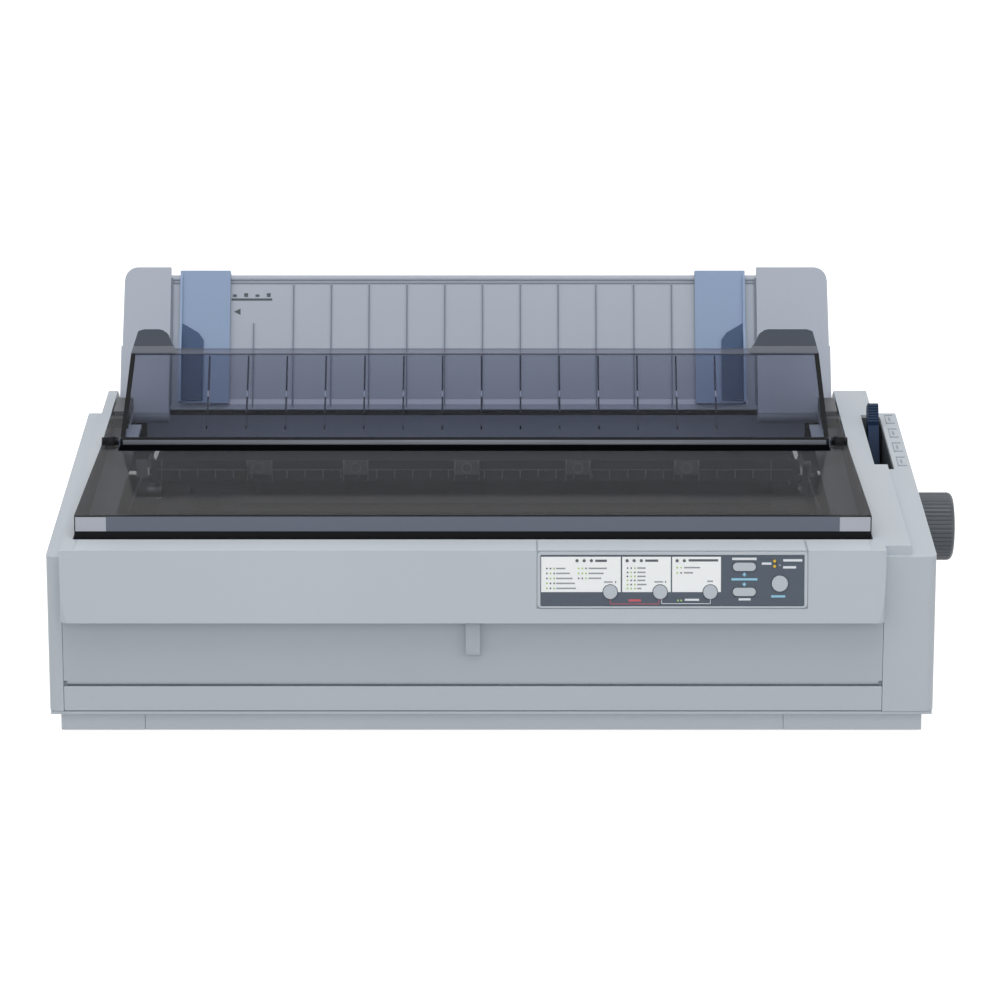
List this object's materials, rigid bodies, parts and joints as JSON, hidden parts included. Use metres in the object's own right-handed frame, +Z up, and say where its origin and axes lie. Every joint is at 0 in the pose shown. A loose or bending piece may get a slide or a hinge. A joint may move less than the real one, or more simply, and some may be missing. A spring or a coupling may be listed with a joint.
{
  "type": "dot matrix printer",
  "caption": "Wide desktop impact printer with a smoke hinged cover, a tilting rear sheet guide, a platen with a side knob, and pin-feed tractors.",
  "frame": {"origin": "centre of the bounding box, on the desk", "axes": "+X to the right, towards the knob; +Y to the rear; +Z up"},
  "size_m": [0.6392, 0.4025, 0.2563],
  "materials": {
    "body_grey": "fine grained moulded plastic",
    "panel_grey": "fine grained moulded plastic",
    "smoke": "smoke tinted clear plastic",
    "blue": "light blue moulded plastic",
    "lever_blue": "dark blue moulded plastic",
    "slate": "printed film",
    "dark_plastic": "moulded plastic",
    "steel": "zinc plated",
    "black_metal": "black cast housing",
    "gear_white": "natural acetal",
    "rubber": "ground rubber",
    "ribbon": "inked fabric",
    "board": "printed circuit board"
  },
  "bodies": {
    "case": {"lower_case": "body_grey", "upper_case": "body_grey", "base_strip": "body_grey", "lower_front_panel": "body_grey", "case_fasteners": "steel", "control_bezel": "body_grey", "panel_plate": "slate", "panel_board": "board", "rear_trims": "dark_plastic", "side_plate_left": "steel", "side_plate_right": "steel", "chassis_pan": "steel", "rails_and_shafts": "steel", "plate_studs": "steel", "motors": "black_metal", "timing_belt": "dark_plastic", "ribbon_cartridge": "dark_plastic", "ribbon": "ribbon", "paper_guide": "steel", "main_board": "board", "power_supply": "steel", "rear_sockets": "dark_plastic", "feet": "rubber"},
    "printer_cover": {"printer_cover": "smoke"},
    "guide_cover": {"guide_cover": "smoke"},
    "sheet_guide": {"sheet_guide": "panel_grey"},
    "edge_guide_left": {"edge_guide_left": "blue"},
    "edge_guide_right": {"edge_guide_right": "blue"},
    "front_cover": {"front_cover": "panel_grey"},
    "platen": {"platen": "rubber", "platen_shaft": "steel"},
    "knob": {"platen_knob": "dark_plastic", "knob_shaft": "steel"},
    "idler_front": {"idler_gear_front": "gear_white"},
    "idler_rear": {"idler_gear_rear": "gear_white"},
    "feed_pinion": {"feed_pinion": "steel"},
    "tractor_shaft": {"tractor_shaft": "steel"},
    "tractor_left": {"tractor_left": "dark_plastic"},
    "tractor_right": {"tractor_right": "dark_plastic"},
    "sprocket_left": {"sprocket_left": "gear_white"},
    "sprocket_right": {"sprocket_right": "gear_white"},
    "tractor_lid_left": {"tractor_lid_left": "body_grey"},
    "tractor_lid_right": {"tractor_lid_right": "body_grey"},
    "paper_bail": {"paper_bail": "dark_plastic"},
    "bail_rollers": {"bail_rollers": "rubber"},
    "carriage": {"carriage": "dark_plastic", "print_head": "black_metal"},
    "drive_pulley": {"drive_pulley": "gear_white"},
    "idler_pulley": {"idler_pulley": "gear_white"},
    "ribbon_knob": {"ribbon_knob": "dark_plastic"},
    "pressure_rollers": {"pressure_rollers": "rubber"},
    "release_lever": {"release_lever": "lever_blue"},
    "thickness_lever": {"thickness_lever": "body_grey"},
    "power_switch": {"power_switch": "dark_plastic"},
    "select_button_left": {"select_button_left": "body_grey"},
    "select_button_middle": {"select_button_middle": "body_grey"},
    "select_button_right": {"select_button_right": "body_grey"},
    "load_button": {"load_button": "body_grey"},
    "feed_button": {"feed_button": "body_grey"},
    "pause_button": {"pause_button": "body_grey"}
  },
  "joints": [
    {"name": "printer_cover_hinge", "type": "hinge", "parent": "case", "child": "printer_cover", "pos_m": [-0.03205, 0.095, 0.15737], "axis": [1, 0, 0], "range_deg": [-40, 0]},
    {"name": "guide_cover_hinge", "type": "hinge", "parent": "printer_cover", "child": "guide_cover", "pos_m": [-0.03205, 0.02, 0.15605], "axis": [1, 0, 0], "range_deg": [-32, 0]},
    {"name": "sheet_guide_hinge", "type": "hinge", "parent": "case", "child": "sheet_guide", "pos_m": [-0.03205, 0.15, 0.15], "axis": [1, 0, 0], "range_deg": [-40, 0]},
    {"name": "edge_guide_left_slide", "type": "slide", "parent": "sheet_guide", "child": "edge_guide_left", "axis": [1, 0, 0], "range_m": [-0.004, 0.08]},
    {"name": "edge_guide_right_slide", "type": "slide", "parent": "sheet_guide", "child": "edge_guide_right", "axis": [1, 0, 0], "range_m": [-0.27, 0.004]},
    {"name": "front_cover_hinge", "type": "hinge", "parent": "case", "child": "front_cover", "pos_m": [-0.03205, -0.1845, 0.0364], "axis": [1, 0, 0], "range_deg": [0, 90]},
    {"name": "platen_spin", "type": "hinge", "parent": "case", "child": "platen", "pos_m": [-0.03205, 0.07, 0.108], "axis": [1, 0, 0], "continuous": true},
    {"name": "knob_spin", "type": "hinge", "parent": "case", "child": "knob", "pos_m": [-0.03205, 0.06001, 0.08502], "axis": [1, 0, 0], "continuous": true},
    {"name": "idler_front_spin", "type": "hinge", "parent": "case", "child": "idler_front", "pos_m": [0.21695, 0.09825, 0.09772], "axis": [1, 0, 0], "continuous": true},
    {"name": "idler_rear_spin", "type": "hinge", "parent": "case", "child": "idler_rear", "pos_m": [0.21695, 0.11272, 0.07137], "axis": [1, 0, 0], "continuous": true},
    {"name": "feed_pinion_spin", "type": "hinge", "parent": "case", "child": "feed_pinion", "pos_m": [0.21695, 0.10902, 0.05039], "axis": [1, 0, 0], "continuous": true},
    {"name": "tractor_shaft_spin", "type": "hinge", "parent": "case", "child": "tractor_shaft", "pos_m": [-0.03205, 0.14, 0.084], "axis": [1, 0, 0], "continuous": true},
    {"name": "tractor_left_slide", "type": "slide", "parent": "case", "child": "tractor_left", "axis": [1, 0, 0], "range_m": [-0.03, 0.12]},
    {"name": "tractor_right_slide", "type": "slide", "parent": "case", "child": "tractor_right", "axis": [1, 0, 0], "range_m": [-0.15, 0.05]},
    {"name": "sprocket_left_spin", "type": "hinge", "parent": "tractor_left", "child": "sprocket_left", "pos_m": [-0.22305, 0.14, 0.084], "axis": [1, 0, 0], "continuous": true},
    {"name": "sprocket_right_spin", "type": "hinge", "parent": "tractor_right", "child": "sprocket_right", "pos_m": [0.10495, 0.14, 0.084], "axis": [1, 0, 0], "continuous": true},
    {"name": "tractor_lid_left_hinge", "type": "hinge", "parent": "tractor_left", "child": "tractor_lid_left", "pos_m": [-0.23025, 0.1545, 0.0974], "axis": [0, 1, 0], "range_deg": [-90, 0]},
    {"name": "tractor_lid_right_hinge", "type": "hinge", "parent": "tractor_right", "child": "tractor_lid_right", "pos_m": [0.11215, 0.1545, 0.0974], "axis": [0, 1, 0], "range_deg": [0, 90]},
    {"name": "paper_bail_hinge", "type": "hinge", "parent": "case", "child": "paper_bail", "pos_m": [-0.03205, 0.096, 0.112], "axis": [1, 0, 0], "range_deg": [-25, 0]},
    {"name": "bail_rollers_spin", "type": "hinge", "parent": "paper_bail", "child": "bail_rollers", "pos_m": [-0.03205, 0.05799, 0.12855], "axis": [1, 0, 0], "continuous": true},
    {"name": "carriage_slide", "type": "slide", "parent": "case", "child": "carriage", "axis": [1, 0, 0], "range_m": [0, 0.37]},
    {"name": "drive_pulley_spin", "type": "hinge", "parent": "case", "child": "drive_pulley", "pos_m": [-0.24705, -0.006, 0.066], "axis": [0, 0, 1], "continuous": true},
    {"name": "idler_pulley_spin", "type": "hinge", "parent": "case", "child": "idler_pulley", "pos_m": [0.18295, -0.006, 0.066], "axis": [0, 0, 1], "continuous": true},
    {"name": "ribbon_knob_spin", "type": "hinge", "parent": "case", "child": "ribbon_knob", "pos_m": [-0.22005, -0.046, 0.128], "axis": [0, 0, 1], "continuous": true},
    {"name": "pressure_rollers_spin", "type": "hinge", "parent": "case", "child": "pressure_rollers", "pos_m": [-0.03205, 0.07, 0.0851], "axis": [1, 0, 0], "continuous": true},
    {"name": "release_lever_hinge", "type": "hinge", "parent": "case", "child": "release_lever", "pos_m": [0.26085, 0.037, 0.09], "axis": [1, 0, 0], "range_deg": [0, 54]},
    {"name": "thickness_lever_hinge", "type": "hinge", "parent": "case", "child": "thickness_lever", "pos_m": [0.20695, 0.032, 0.114], "axis": [1, 0, 0], "range_deg": [-20, 20]},
    {"name": "power_switch_rock", "type": "hinge", "parent": "case", "child": "power_switch", "pos_m": [-0.21555, 0.1976, 0.048], "axis": [1, 0, 0], "range_deg": [0, 12]},
    {"name": "select_button_left_press", "type": "slide", "parent": "case", "child": "select_button_left", "axis": [0, 0.9897, -0.1431], "range_m": [0, 0.001], "stiffness_N_per_m": 400},
    {"name": "select_button_middle_press", "type": "slide", "parent": "case", "child": "select_button_middle", "axis": [0, 0.9897, -0.1431], "range_m": [0, 0.001], "stiffness_N_per_m": 400},
    {"name": "select_button_right_press", "type": "slide", "parent": "case", "child": "select_button_right", "axis": [0, 0.9897, -0.1431], "range_m": [0, 0.001], "stiffness_N_per_m": 400},
    {"name": "load_button_press", "type": "slide", "parent": "case", "child": "load_button", "axis": [0, 0.9897, -0.1431], "range_m": [0, 0.001], "stiffness_N_per_m": 400},
    {"name": "feed_button_press", "type": "slide", "parent": "case", "child": "feed_button", "axis": [0, 0.9897, -0.1431], "range_m": [0, 0.001], "stiffness_N_per_m": 400},
    {"name": "pause_button_press", "type": "slide", "parent": "case", "child": "pause_button", "axis": [0, 0.9897, -0.1431], "range_m": [0, 0.001], "stiffness_N_per_m": 400}
  ],
  "couplings": [
    {"joint": "knob_spin", "follows": "platen_spin", "ratio": -1.5},
    {"joint": "idler_front_spin", "follows": "platen_spin", "ratio": -1},
    {"joint": "idler_rear_spin", "follows": "platen_spin", "ratio": 1},
    {"joint": "feed_pinion_spin", "follows": "platen_spin", "ratio": -2.4},
    {"joint": "tractor_shaft_spin", "follows": "platen_spin", "ratio": -1},
    {"joint": "sprocket_left_spin", "follows": "platen_spin", "ratio": -1},
    {"joint": "sprocket_right_spin", "follows": "platen_spin", "ratio": -1},
    {"joint": "pressure_rollers_spin", "follows": "platen_spin", "ratio": -3.5},
    {"joint": "drive_pulley_spin", "follows": "carriage_slide", "rad_per_m": 125},
    {"joint": "idler_pulley_spin", "follows": "carriage_slide", "rad_per_m": 125}
  ]
}
